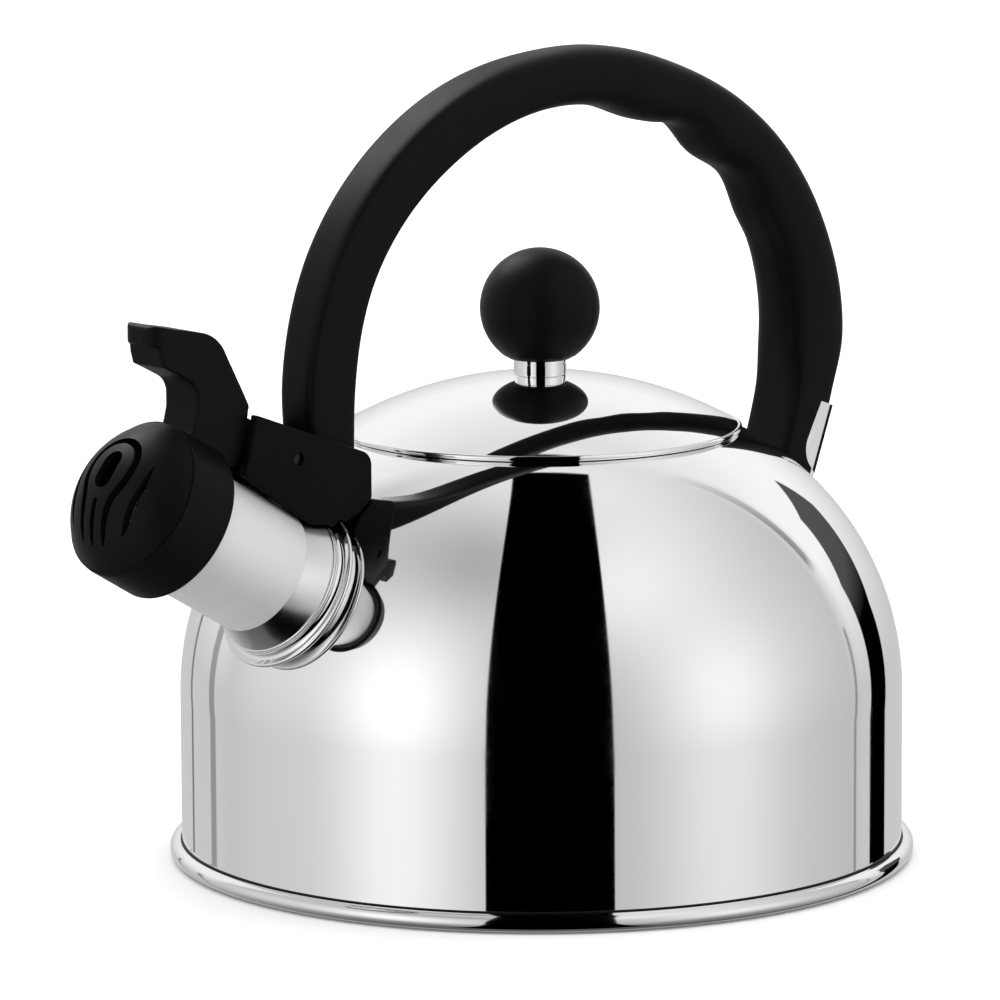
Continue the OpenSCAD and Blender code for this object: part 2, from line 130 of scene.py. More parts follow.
def arc(cx, cz, r, a0, a1, n):
    """n + 1 points on an arc, as (x, z) pairs."""
    angles = [turn(a0 + (a1 - a0) * i / n) for i in range(n + 1)]
    return [(cx + r * math.cos(a), cz + r * math.sin(a)) for a in angles]


def line(p, q, n):
    """n points from p towards q, without q."""
    return [(p[0] + (q[0] - p[0]) * i / n, p[1] + (q[1] - p[1]) * i / n) for i in range(n)]


def smooth_shade(piece, sharp=35):
    """Shades a piece smooth, but for edges sharper than an angle."""
    piece.data.shade_smooth()
    piece.data.set_sharp_from_angle(angle=turn(sharp))


def new_piece(name, points, faces, sharp=35):
    """A mesh object from points in millimetres, with its faces turned outward."""
    mesh = bpy.data.meshes.new(name)
    mesh.from_pydata([Vector(p) * MM for p in points], [], faces)
    work = bmesh.new()
    work.from_mesh(mesh)
    bmesh.ops.recalc_face_normals(work, faces=work.faces)
    work.to_mesh(mesh)
    work.free()
    piece = bpy.data.objects.new(name, mesh)
    bpy.context.scene.collection.objects.link(piece)
    smooth_shade(piece, sharp)
    return piece


def lathe(name, profile, place=None, steps=STEPS, sharp=35):
    """A solid of revolution from a closed profile of (r, z) pairs."""
    place = place or Matrix.Identity(4)
    points, rings = [], []
    for r, z in profile:
        if r < 1e-6:
            rings.append([len(points)] * steps)
            points.append(place @ Vector((0, 0, z)))
            continue
        rings.append([len(points) + k for k in range(steps)])
        for k in range(steps):
            a = 2 * math.pi * k / steps
            points.append(place @ Vector((r * math.cos(a), r * math.sin(a), z)))
    faces = []
    for low, high in zip(rings, rings[1:] + rings[:1]):
        for k in range(steps):
            n = (k + 1) % steps
            corners = list(dict.fromkeys((low[k], low[n], high[n], high[k])))
            if len(corners) > 2:
                faces.append(corners)
    return new_piece(name, points, faces, sharp)


def prism(name, outline, y0, y1, place=None):
    """An outline of (x, z) pairs, pulled along Y from y0 to y1."""
    place = place or Matrix.Identity(4)
    n = len(outline)
    points = [place @ Vector((x, y, z)) for y in (y0, y1) for x, z in outline]
    faces = [[k, (k + 1) % n, n + (k + 1) % n, n + k] for k in range(n)]
    faces += [list(range(n))[::-1], list(range(n, 2 * n))]
    return new_piece(name, points, faces)


def block(name, low, high, place=None):
    """A box between two corners."""
    outline = [(low[0], low[2]), (high[0], low[2]), (high[0], high[2]), (low[0], high[2])]
    return prism(name, outline, low[1], high[1], place)


def tube(name, path, radius, sides=16):
    """A round wire along a list of points."""
    points, faces = [], []
    side = None
    for i, p in enumerate(path):
        ahead = (path[min(i + 1, len(path) - 1)] - path[max(i - 1, 0)]).normalized()
        side = side or ahead.orthogonal()
        side = (side - side.dot(ahead) * ahead).normalized()
        other = ahead.cross(side)
        for k in range(sides):
            a = 2 * math.pi * k / sides
            points.append(p + radius * (math.cos(a) * side + math.sin(a) * other))
    for i in range(len(path) - 1):
        for k in range(sides):
            a, b = i * sides + k, i * sides + (k + 1) % sides
            faces.append([a, b, b + sides, a + sides])
    last = (len(path) - 1) * sides
    faces += [list(range(sides))[::-1], list(range(last, last + sides))]
    return new_piece(name, points, faces)


def apply_modifiers(piece):
    """Turns a piece's modifiers into its mesh."""
    bpy.context.view_layer.update()
    graph = bpy.context.evaluated_depsgraph_get()
    mesh = bpy.data.meshes.new_from_object(piece.evaluated_get(graph))
    piece.modifiers.clear()
    piece.data = mesh


def combine(piece, how, *others):
    """Joins the other solids to a piece, or cuts them from it, and removes them."""
    for other in others:
        tool = piece.modifiers.new("combine", "BOOLEAN")
        tool.operation = how
        tool.solver = "EXACT"
        tool.object = other
        apply_modifiers(piece)
        bpy.data.objects.remove(other)
    return piece


def round_edges(piece, width, segments=4, limit=40):
    """Rounds the sharp edges of a piece, as a moulding or a pressing has them."""
    weld = piece.modifiers.new("weld", "WELD")
    weld.merge_threshold = 0.00001
    bevel = piece.modifiers.new("bevel", "BEVEL")
    bevel.width = width * MM
    bevel.segments = segments
    bevel.limit_method = "ANGLE"
    bevel.angle_limit = turn(limit)
    bevel.use_clamp_overlap = True
    apply_modifiers(piece)
    smooth_shade(piece, 50)
    return piece


def soften(piece, voxel=0.3, times=18):
    """Rounds every edge a little, as a mould's soft corners do."""
    remesh = piece.modifiers.new("remesh", "REMESH")
    remesh.mode = "VOXEL"
    remesh.voxel_size = voxel * MM
    smooth = piece.modifiers.new("smooth", "SMOOTH")
    smooth.factor = 0.5
    smooth.iterations = times
    apply_modifiers(piece)
    return piece


# ---------------------------------------------------------------- materials

def new_material(name):
    """A node material, with its tree and its shader."""
    material = bpy.data.materials.new(name)
    material.use_nodes = True
    return material, material.node_tree, material.node_tree.nodes["Principled BSDF"]


def joined(tree, node, **sockets):
    """Fills a node's inputs: a socket is linked, anything else is set."""
    for key, value in sockets.items():
        target = node.inputs[int(key[1:])] if key[0] == "i" and key[1:].isdigit() else node.inputs[key]
        if isinstance(value, bpy.types.NodeSocket):
            tree.links.new(value, target)
        else:
            target.default_value = value
    return node


def calc(tree, operation, a, b=0.0, c=0.0):
    """One math node's result."""
    node = tree.nodes.new("ShaderNodeMath")
    node.operation = operation
    joined(tree, node, i0=a, i1=b, i2=c)
    return node.outputs[0]


def spread(tree, value, low, high, out_low, out_high):
    """Maps a value from one range to another, clamped."""
    node = tree.nodes.new("ShaderNodeMapRange")
    joined(tree, node, i0=value, i1=low, i2=high, i3=out_low, i4=out_high)
    return node.outputs[0]


def coordinates(tree, stretch):
    """The object's own coordinates in metres, scaled along each axis."""
    where = tree.nodes.new("ShaderNodeTexCoord")
    scaled = tree.nodes.new("ShaderNodeMapping")
    tree.links.new(where.outputs["Object"], scaled.inputs["Vector"])
    scaled.inputs["Scale"].default_value = stretch
    return scaled.outputs[0]


def noise(tree, scale, detail=3.0, stretch=(1, 1, 1), place=None):
    """Noise in the object's coordinates, or in those given."""
    node = tree.nodes.new("ShaderNodeTexNoise")
    tree.links.new(place or coordinates(tree, stretch), node.inputs["Vector"])
    node.inputs["Scale"].default_value = scale
    node.inputs["Detail"].default_value = detail
    return node.outputs["Fac"]


def round_axis(tree, origin, axis):
    """Coordinates of a turned part: (distance from its axis, 0, height along it)."""
    where = tree.nodes.new("ShaderNodeTexCoord")
    moved = tree.nodes.new("ShaderNodeVectorMath")
    moved.operation = "SUBTRACT"
    tree.links.new(where.outputs["Object"], moved.inputs[0])
    moved.inputs[1].default_value = origin
    along = tree.nodes.new("ShaderNodeVectorMath")
    along.operation = "DOT_PRODUCT"
    tree.links.new(moved.outputs[0], along.inputs[0])
    along.inputs[1].default_value = axis
    height = along.outputs["Value"]
    length = tree.nodes.new("ShaderNodeVectorMath")
    length.operation = "LENGTH"
    tree.links.new(moved.outputs[0], length.inputs[0])
    square = calc(tree, "SUBTRACT", calc(tree, "POWER", length.outputs["Value"], 2.0),
                  calc(tree, "POWER", height, 2.0))
    out = tree.nodes.new("ShaderNodeCombineXYZ")
    joined(tree, out, i0=calc(tree, "SQRT", calc(tree, "MAXIMUM", square, 0.0)), i2=height)
    return out.outputs[0]


def bump(tree, shader, height, distance, strength=1.0):
    """Raises the surface by a height, over a distance in metres."""
    node = tree.nodes.new("ShaderNodeBump")
    node.inputs["Strength"].default_value = strength
    node.inputs["Distance"].default_value = distance
    tree.links.new(height, node.inputs["Height"])
    tree.links.new(node.outputs["Normal"], shader.inputs["Normal"])


def tinted(tree, shader, value, dark, light):
    """Lets a colour drift between two tones."""
    node = tree.nodes.new("ShaderNodeMix")
    node.data_type = "RGBA"
    tree.links.new(value, node.inputs["Factor"])
    node.inputs["A"].default_value = (*dark, 1)
    node.inputs["B"].default_value = (*light, 1)
    tree.links.new(node.outputs["Result"], shader.inputs["Base Color"])


def polished_steel(name, haze=0.03, tone=0.93):
    """Mirror-polished steel: faint buffing haze, a few wiped smudges, fine spun lines."""
    material, tree, shader = new_material(name)
    shader.inputs["Metallic"].default_value = 1.0
    smudge = noise(tree, 22, 4)
    tinted(tree, shader, smudge, (tone - 0.015,) * 3, (tone + 0.01, tone + 0.01, tone + 0.015))
    rings = noise(tree, 900, 2, place=round_axis(tree, (0, 0, 0), (0, 0, 1)))
    patch = spread(tree, smudge, 0.45, 0.75, haze, haze + 0.035)
    fine = spread(tree, rings, 0.4, 0.7, 0.0, 0.012)
    tree.links.new(calc(tree, "ADD", patch, fine), shader.inputs["Roughness"])
    bump(tree, shader, rings, 0.0000015, 0.25)
    return material


def satin_steel(name, origin=(0, 0, 0), axis=(0, 0, 1), tone=0.80, rough=0.34, metal=1.0):
    """Steel with fine lines brushed round its axis."""
    material, tree, shader = new_material(name)
    shader.inputs["Metallic"].default_value = metal
    place = round_axis(tree, origin, axis)
    rings = noise(tree, 2600, 3, place=place)
    broad = noise(tree, 260, 2, place=place)
    both = calc(tree, "ADD", calc(tree, "MULTIPLY", rings, 0.6), calc(tree, "MULTIPLY", broad, 0.4))
    tinted(tree, shader, both, (tone - 0.05,) * 3, (tone + 0.04,) * 3)
    tree.links.new(spread(tree, both, 0.3, 0.7, rough - 0.06, rough + 0.08), shader.inputs["Roughness"])
    bump(tree, shader, both, 0.000006, 0.5)
    return material


def black_plastic(name, grain=1500, rough=0.42, shine=0.08, tone=0.0032):
    """Moulded soft-touch black plastic: fine grain, dull patches, edges rubbed smooth."""
    material, tree, shader = new_material(name)
    shader.inputs["Specular IOR Level"].default_value = shine
    patches = noise(tree, 55, 3)
    fine = noise(tree, grain, 3)
    tinted(tree, shader, patches, (tone * 0.85,) * 3, (tone * 1.2,) * 3)
    dull = calc(tree, "ADD", spread(tree, patches, 0.3, 0.7, rough - 0.04, rough + 0.05),
                spread(tree, fine, 0.3, 0.7, -0.03, 0.03))
    geometry = tree.nodes.new("ShaderNodeNewGeometry")
    rubbed = spread(tree, geometry.outputs["Pointiness"], 0.52, 0.6, 0.0, 0.12)
    tree.links.new(calc(tree, "SUBTRACT", dull, rubbed), shader.inputs["Roughness"])
    bump(tree, shader, fine, 0.00003, 0.35)
    return material


def plain_metal(name, tone, rough, grain=1800):
    """Turned, drawn or cast metal of the small parts, with fine streaks."""
    material, tree, shader = new_material(name)
    shader.inputs["Metallic"].default_value = 1.0
    streaks = noise(tree, grain, 3, (1, 1, 0.25))
    tinted(tree, shader, streaks, tuple(0.86 * t for t in tone), tone)
    tree.links.new(spread(tree, streaks, 0.3, 0.7, rough - 0.06, rough + 0.08), shader.inputs["Roughness"])
    bump(tree, shader, streaks, 0.00001, 0.3)
    return material


def silicone(name):
    """Dull dark rubber, a little cloudy."""
    material, tree, shader = new_material(name)
    cloud = noise(tree, 300, 3)
    tinted(tree, shader, cloud, (0.06, 0.06, 0.06), (0.10, 0.10, 0.10))
    tree.links.new(spread(tree, cloud, 0.3, 0.7, 0.55, 0.7), shader.inputs["Roughness"])
    bump(tree, shader, noise(tree, 2500), 0.00002, 0.4)
    return material


def finish(piece, body, slot, material, *nodes):
    """Gives a piece its material and its body, and hides the CAD nodes it stands for."""
    piece.data.materials.clear()
    piece.data.materials.append(material)
    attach(piece, body)
    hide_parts(*nodes)
    return piece


def repaint(material, *nodes):
    """Gives CAD nodes that stay in view a finished material."""
    for name in nodes:
        for slot in frame["nodes"][name].material_slots:
            slot.material = material


# ---------------------------------------------------------------- body and base

def shoulder_z(x, extra=0.0):
    """Height of the dome's surface, grown by extra, at a distance from the axis."""
    return SHOULDER_Z + math.sqrt((SHOULDER_R + extra) ** 2 - (x - ARC_X) ** 2)


def dome_angle(x, radius):
    """The angle on the dome, from level, at a distance x from the axis."""
    return math.degrees(math.acos((x - ARC_X) / radius))


def body_blank(name, extra, foot=0.0, steps=STEPS):
    """A solid in the body's outside shape, grown by extra, for cutting other pieces."""
    profile = [(0, foot), (BODY_R + extra, foot)]
    profile += arc(ARC_X, SHOULDER_Z, SHOULDER_R + extra, 0, 90, 60)
    profile += [(0, SHOULDER_Z + SHOULDER_R + extra)]
    return lathe(name, profile, steps=steps)


def make_body():
    """The shell: straight wall, domed shoulder and the turned-down neck under the lid."""
    foot = 3.0
    inner = SHOULDER_R - SHEET
    lip = 0.5
    outer_end = dome_angle(NECK_R + lip, SHOULDER_R)
    inner_end = dome_angle(NECK_R + SHEET, inner)
    profile = line((BODY_R, foot), (BODY_R, SHOULDER_Z), 20)
    profile += arc(ARC_X, SHOULDER_Z, SHOULDER_R, 0, outer_end, 110)
    top = shoulder_z(NECK_R + lip)
    profile += [(NECK_R + 0.15, top - 0.05), (NECK_R, top - 0.3), (NECK_R, NECK_Z), (NECK_R + SHEET, NECK_Z)]
    profile += arc(ARC_X, SHOULDER_Z, inner, inner_end, 0, 70)
    profile += line((BODY_R - SHEET, SHOULDER_Z), (BODY_R - SHEET, foot), 12) + [(BODY_R - SHEET, foot)]
    body = lathe("body_polished_shell", profile)
    hole = lathe("hole", [(0, -12), (TUBE_R, -12), (TUBE_R, 12), (0, 12)], SPOUT, 96)
    combine(body, "DIFFERENCE", hole)
    smooth_shade(body)
    finish(body, "kettle", "polished_steel", polished_steel("steel_body", 0.022), "body_shell")


def make_base():
    """The rolled seam bead round the foot, with the pan's floor inside it."""
    floor_low, floor_top = 3.6, 4.4
    centre = BEAD_OUT - BEAD_R
    profile = arc(centre, BEAD_Z, BEAD_R, -160, 118, 60)
    profile += [(BODY_R + 0.02, BEAD_Z + 1.75), (BODY_R - 0.9, BEAD_Z + 1.6)]
    profile += [(BODY_R - 0.9, floor_top), (0, floor_top), (0, floor_low), (BODY_R - 1.6, floor_low)]
    bead = lathe("base_rolled_bead", profile)
    finish(bead, "kettle", "polished_steel", polished_steel("steel_bead", 0.045, 0.86), "base_pan")
    # a thin near-black ring in the crease where the wall meets the bead: painted shade, for the shade in
    # that groove
    seam = lathe("base_seam_line", arc(BODY_R + 0.05, BEAD_Z + 2.35, 0.26, 0, 345, 10))
    finish(seam, "kettle", "polished_steel", plain_metal("metal_seam_painted_shade", (0.03, 0.03, 0.032), 0.5))


# ---------------------------------------------------------------- spout

FLARE_TOP, FLARE_FOOT, FLARE_R = 11.7, 4.6, 18.4


def make_tube():
    """The satin tube, with a rolled lip at its mouth."""
    inner = TUBE_R - TUBE_WALL
    lip = 0.55
    profile = [(inner, -1.9)] + line((TUBE_R, -1.9), (TUBE_R, TUBE_LEN - lip), 24)
    profile += arc(inner + lip, TUBE_LEN - lip, lip - 0.15, 0, 180, 16)
    profile += [(inner, TUBE_LEN - 2.2)]
    piece = lathe("spout_satin_tube", profile, SPOUT, 224)
    axis = (SPOUT.to_3x3() @ Vector((0, 0, 1)))[:]
    origin = (SPOUT.translation * MM)[:]
    finish(piece, "kettle", "satin_steel", satin_steel("steel_satin_tube", origin, axis, 0.84, 0.48, 0.62),
           "spout_tube")


def make_flare():
    """The half-polished flare, which leaves the tube at a crisp corner and steepens downward."""
    steps = 24
    near = TUBE_R + 0.02
    profile = [(near, 3.4), (FLARE_R - 0.2, 3.4)]
    for k in range(steps + 1):
        t = 1 - k / steps
        r = near + (FLARE_R - near) * (0.72 * t + 0.28 * t * t)
        profile.append((r, FLARE_TOP - (FLARE_TOP - FLARE_FOOT) * t))
    piece = lathe("spout_flare", profile, SPOUT, 224)
    finish(piece, "kettle", "polished_steel", polished_steel("steel_flare", 0.2, 0.82))


def make_collar():
    """A fine double bead, a smooth band and the wide rolled edge, with a recess under it."""
    edge_r = 21.4
    profile = [(TUBE_R + 0.05, 4.35)]
    for centre in (4.05, 3.25):
        profile += arc(FLARE_R, centre, 0.38, 80, -80, 10)
    profile += arc(FLARE_R + 1.5, 2.75, 1.6, 170, 262, 12)[3:]
    profile += arc(edge_r - 0.62, 0.92, 0.62, 80, -110, 16)
    # the underside runs in under the edge, to the neck that is welded to the dome
    profile += [(FLARE_R + 0.4, -0.15), (FLARE_R + 0.1, -0.45), (FLARE_R + 0.1, -9), (TUBE_R + 0.05, -9)]
    piece = lathe("spout_flared_collar", profile, SPOUT, 224)
    combine(piece, "DIFFERENCE", body_blank("blank", 0.0, -1, 576))
    smooth_shade(piece, 30)
    finish(piece, "kettle", "polished_steel", polished_steel("steel_collar", 0.06), "spout_collar")


def make_skirt_and_hook():
    """The hinged cap: a round skirt, with the finger hook rising from its top."""
    profile = [(BORE_R, SKIRT_START + 0.3), (BORE_R + 0.3, SKIRT_START), (SKIRT_R - 0.6, SKIRT_START)]
    profile += arc(SKIRT_R - 0.6, SKIRT_START + 0.6, 0.6, -80, 0, 6)
    profile += line((SKIRT_R, SKIRT_START + 1.5), (SKIRT_R - 0.1, SEAM - 0.9), 10)
    profile += arc(SKIRT_R - 0.7, SEAM - 0.6, 0.6, 0, 90, 8) + [(BORE_R, SEAM)]
    skirt = lathe("whistle_cap_skirt_and_hook", profile, SPOUT, 192)
    hook = make_hook()
    tongue = make_tongue()
    inside = lathe("inside", [(0, 0), (BORE_R + 0.3, 0), (BORE_R + 0.3, 90), (0, 90)], SPOUT, 128)
    sphere = lathe("sphere", [(0, DOME_C - DOME_R - 0.12)] + arc(0, DOME_C, DOME_R + 0.12, -88, 88, 60)
                   + [(0, DOME_C + DOME_R + 0.12)], SPOUT, 128)
    ahead = lathe("ahead", [(0, SEAM), (40, SEAM), (40, SEAM + 60), (0, SEAM + 60)], SPOUT, 64)
    combine(sphere, "INTERSECT", ahead)
    combine(hook, "UNION", tongue)
    combine(hook, "DIFFERENCE", inside, sphere)
    combine(skirt, "UNION", hook)
    bore = lathe("bore", [(0, -20), (PIN_BORE_R, -20), (PIN_BORE_R, 20), (0, 20)], PIN_PLACE, 48)
    combine(skirt, "DIFFERENCE", bore)
    smooth_shade(skirt, 38)
    finish(skirt, "whistle", "black_phenolic", black_plastic("plastic_cap"), "whistle_cap")


def make_hook():
    """The thumb pad, with a lip under its tip, and the arm below it, with soft edges."""
    outline = [(-128.2, 149.3), (-129.3, 148.9), (-129.85, 147.8), (-129.9, 145.4), (-129.4, 144.4)]
    outline += [(-127.6, 143.8), (-127.2, 141.6), (-126.3, 138.9)]
    outline += [(-123.6, 137.6), (-120.9, 136.2)] + arc(-121.4, 130.6, 5.2, 60, 5, 6)
    outline += [(-116.3, 127), (-117.4, 123), (-120.4, 118.4)]
    outline += [(-114, 112), (-105.5, 110.6), (-101.2, 118)]
    outline += [(-100.4, 125.4), (-100.0, 127.0), (-102.9, 132.6)]
    outline += arc(-116.4, 136.4, 10.2, 22, 72, 8) + [(-117.5, 147.1), (-122.9, 148.1)]
    hook = prism("hook", outline, -FRONT_HALF, FRONT_HALF)
    tip_r, tip_x = 4.4, -129.9
    side = FRONT_HALF - tip_r
    plan = [(-80, -FRONT_HALF - 0.01), (-80, FRONT_HALF + 0.01), (tip_x + tip_r, FRONT_HALF + 0.01)]
    plan += arc(tip_x + tip_r, side, tip_r, 90, 180, 8)[1:]
    plan += arc(tip_x + tip_r, -side, tip_r, 180, 270, 8)[:-1]
    plan += [(tip_x + tip_r, -FRONT_HALF - 0.01)]
    seen_from_above = Matrix.Rotation(turn(90), 4, "X")
    combine(hook, "INTERSECT", prism("plan", plan, 100, 200, seen_from_above))
    return soften(hook)


def make_tongue():
    """The narrow tongue that reaches between the cheeks to the hinge pin."""
    half = 3.2
    x, z = PIN[0], PIN[2]
    outline = arc(x, z, 4.4, -110, 75, 18) + [(-101, 125), (-106, 116), (-103.2, 112.6)]
    return round_edges(prism("tongue", outline, -half, half), 0.4, 2, 50)


def ribbon(rows):
    """The outline of a slot along a line; each row is (up, across, half width)."""
    left, right = [], []
    for i, (u, v, w) in enumerate(rows):
        p, q = rows[max(i - 1, 0)], rows[min(i + 1, len(rows) - 1)]
        d = Vector((q[0] - p[0], q[1] - p[1])).normalized()
        left.append((u - d.y * w, v + d.x * w))
        right.append((u + d.y * w, v - d.x * w))
    return left + right[::-1]


def curve_rows(rows, n=6):
    """A smooth curve through the rows, with n steps in each span."""
    out = []
    for i in range(len(rows) - 1):
        before, a, b, after = rows[max(i - 1, 0)], rows[i], rows[i + 1], rows[min(i + 2, len(rows) - 1)]
        for k in range(n):
            t = k / n
            out.append(tuple(
                0.5 * (2 * q + (r - p) * t + (2 * p - 5 * q + 4 * r - s) * t * t
                       + (3 * q - p - 3 * r + s) * t ** 3)
                for p, q, r, s in zip(before, a, b, after)))
    return out + [rows[-1]]


def vent_outlines():
    """The whistle's vents: an eye, a horseshoe round it, a middle slot, a slot each side."""
    eye = arc(1.1, 0, 2.8, 90, 270, 12) + arc(5.7, 0, 2.8, -90, 90, 12)
    leg = [(-14.5, 3.9, 0.25), (-12, 4.0, 0.75), (-7, 4.4, 0.95), (-3.4, 5.1, 1.0), (0.2, 6.7, 1.05),
           (4, 7.3, 0.95), (7.6, 6.7, 0.9), (10.6, 4.3, 0.9), (11.9, 0, 0.9)]
    shoe = leg + [(u, -v, w) for u, v, w in leg[-2::-1]]
    middle = [(-15.2, 0, 0.2), (-13, 0, 0.7), (-8, 0, 0.8), (-5, 0, 0.7), (-4.2, 0, 0.35)]
    flank = [(-11.6, 9.4, 0.12), (-8, 10.3, 0.8), (-3.5, 11.1, 0.95), (1.5, 11.8, 0.75), (7.2, 11.6, 0.12)]
    slots = [ribbon(curve_rows(rows)) for rows in (shoe, middle, flank)]
    return [eye] + slots + [[(u, -v) for u, v in slots[2]]]


def make_dome():
    """The cap's domed face, snapped into the skirt, with the vents cut through it."""
    wall = 1.8
    skirt_low = SEAM - 2.4
    rim = SKIRT_R - 0.25
    start = math.degrees(math.asin((SEAM - DOME_C) / DOME_R))
    outside = arc(0, DOME_C, DOME_R, start + 1.6, 89.6, 70)
    inside = arc(0, DOME_C, DOME_R - wall, 89.6, start + 5, 40)
    profile = [(BORE_R - 0.05, skirt_low), (BORE_R - 0.05, SEAM + 0.05), (rim - 0.5, SEAM + 0.05)]
    profile += arc(rim - 0.5, SEAM + 0.5, 0.45, -80, 10, 5)
    profile += outside + [(0, DOME_C + DOME_R), (0, DOME_C + DOME_R - wall)] + inside
    profile += [(BORE_R - 1.5, SEAM + 0.5), (BORE_R - 1.5, skirt_low)]
    dome = lathe("whistle_cap_dome", profile, SPOUT, 256)
    # a prism runs along its own Y, so it is turned to run along the spout
    front = SPOUT @ Matrix(((1, 0, 0, 0), (0, 0, 1, 0), (0, 1, 0, 0), (0, 0, 0, 1)))
    for outline in vent_outlines():
        combine(dome, "DIFFERENCE", prism("vent", outline, SEAM + 2, SEAM + 30, front))
    smooth_shade(dome, 40)
    finish(dome, "whistle", "black_phenolic", black_plastic("plastic_dome"), "cap_dome")


def make_spring():
    """The torsion spring round the pin, beside the cap's tongue."""
    coil_r, near, pitch, wound = 2.9, 3.9, 0.8, 70 + 3 * FULL_TURN
    leg, arm, wire_r, n = 10.4, 14.8, 0.4, 150
    centre = Vector(PIN)

    def out(a):
        return Vector((math.cos(turn(a)), 0, math.sin(turn(a))))

    def ahead(a):
        return Vector((-math.sin(turn(a)), 0, math.cos(turn(a))))

    coil = []
    for k in range(n + 1):
        a = wound * k / n
        coil.append(centre + coil_r * out(a) + Vector((0, near + pitch * a / FULL_TURN * (1 - k / n), 0)))
    path = [coil[0] - leg * ahead(0)] + coil + [coil[-1] + arm * ahead(wound)]
    piece = tube("hinge_spring_wire", path, wire_r, 14)
    finish(piece, "kettle", "spring_steel", plain_metal("metal_spring", (0.5, 0.5, 0.52), 0.3),
           "torsion_spring")


# ---------------------------------------------------------------- handle

HANDLE_X, HANDLE_Z = 6.5, 118.0
# each row is (angle, outer radius, inner radius, half width, squareness of the section)
STATIONS = [
    (196, 89.6, 74.6, FRONT_HALF, 6), (184, 86.9, 72.3, FRONT_HALF, 6),
    (172, 88.0, 72.2, FRONT_HALF + 0.1, 6), (150, 89.1, 74.4, FRONT_HALF + 0.7, 6),
    (120, 88.2, 73.7, FRONT_HALF + 1.4, 5),
    (96, 87.8, 73.5, REAR_HALF - 0.8, 3.2), (82, 88.7, 73.3, REAR_HALF - 0.5, 2.8),
    (72, 89.3, 72.2, REAR_HALF - 0.3, 2.6), (66, 89.8, 73.2, REAR_HALF - 0.2, 2.5),
    (59, 90.8, 75.9, REAR_HALF - 0.2, 2.5), (50, 92.6, 74.1, REAR_HALF - 0.1, 2.5),
    (40, 94.2, 77.4, REAR_HALF, 2.5), (31, 95.4, 75.6, REAR_HALF, 2.5), (24, 95.9, 76.1, REAR_HALF, 2.5),
    (12, 96.5, 74.8, REAR_HALF, 2.5), (4, 94.9, 74.3, REAR_HALF, 3.1), (-4, 90.1, 75.2, REAR_HALF - 0.2, 5),
    (-12, 87.4, 74.6, REAR_HALF - 0.4, 7), (-20, 86.2, 74.0, REAR_HALF - 0.4, 7),
    (-34, 88.0, 73.5, REAR_HALF - 0.4, 7),
]


def station(a):
    """Outer radius, inner radius, half width and squareness of the handle at angle a."""
    i = max(k for k in range(len(STATIONS) - 1) if k == 0 or STATIONS[k][0] > a)
    p, q = STATIONS[i], STATIONS[i + 1]
    before, after = STATIONS[max(i - 1, 0)], STATIONS[min(i + 2, len(STATIONS) - 1)]
    span = q[0] - p[0]
    u = (a - p[0]) / span
    ease = u * u * (3 - 2 * u)
    out = []
    for c in (1, 2, 3, 4):
        slope_p = (q[c] - before[c]) / (q[0] - before[0])
        slope_q = (after[c] - p[c]) / (after[0] - p[0])
        bend = span * u * (1 - u) * ((1 - u) * slope_p - u * slope_q)
        out.append(p[c] + (q[c] - p[c]) * ease + bend)
    return out


def squared(v, n):
    """A sine or cosine, for a section that is squarer as n grows."""
    return math.copysign(abs(v) ** (2 / n), v)


def handle_ring(a, sides):
    """The handle's section at angle a."""
    outer, inner, half, n = station(a)
    mid, thick = (outer + inner) / 2, (outer - inner) / 2
    ring = []
    for j in range(sides):
        t = 2 * math.pi * (j + 0.5) / sides
        r = mid + thick * squared(math.cos(t), n)
        ring.append(Vector((HANDLE_X + r * math.cos(turn(a)), half * squared(math.sin(t), n),
                            HANDLE_Z + r * math.sin(turn(a)))))
    return ring


def make_handle():
    """The arched grip, with finger grooves inside its rear half and both feet cut to fit."""
    sides, rings = 64, 461
    foot_rear_x, foot_z, beyond = -66.4, 101.5, 30
    first, last = STATIONS[0][0], STATIONS[-1][0]
    points, faces = [], []
    for k in range(rings):
        points += handle_ring(first + (last - first) * k / (rings - 1), sides)
    for k in range(rings - 1):
        for j in range(sides):
            a, b = k * sides + j, k * sides + (j + 1) % sides
            faces.append([a, b, b + sides, a + sides])
    end = (rings - 1) * sides
    faces += [list(range(sides))[::-1], list(range(end, end + sides))]
    grip = new_piece("handle_moulded_grip", points, faces)
    combine(grip, "DIFFERENCE", body_blank("blank", 1.8, -40),
            block("under", (FRONT_FOOT_X - beyond, -beyond, 60), (-40, beyond, foot_z)),
            block("front", (FRONT_FOOT_X - beyond, -beyond, foot_z - 1), (FRONT_FOOT_X, beyond, foot_z + 7)),
            block("behind", (foot_rear_x, -beyond, foot_z - 1), (foot_rear_x + beyond, beyond, foot_z + 11)),
            channel_solid("pocket", 54, 10, 1.0))
    smooth_shade(grip, 42)
    finish(grip, "kettle", "black_phenolic", black_plastic("plastic_grip"), "handle_grip")


# ---------------------------------------------------------------- straps and bracket

STRAP_TOP, STRAP_LEAN, STRAP_T = (96.3, 112.0), 20.7, 1.4
STRAP_HALF = REAR_HALF - 0.4
STRAP_EDGE = -6.0


def strap_place():
    """The rear strap's own frame: Z up along its web, X outward."""
    return Matrix.Translation((STRAP_TOP[0], 0, STRAP_TOP[1])) @ Matrix.Rotation(turn(STRAP_LEAN), 4, "Y")


def flange_outline():
    """The side of the channel, with its round lower end."""
    return [(0, STRAP_EDGE), (-4.3, STRAP_EDGE)] + arc(1.6, -17, 7.1, 175, 255, 14) + [(0, -24)]


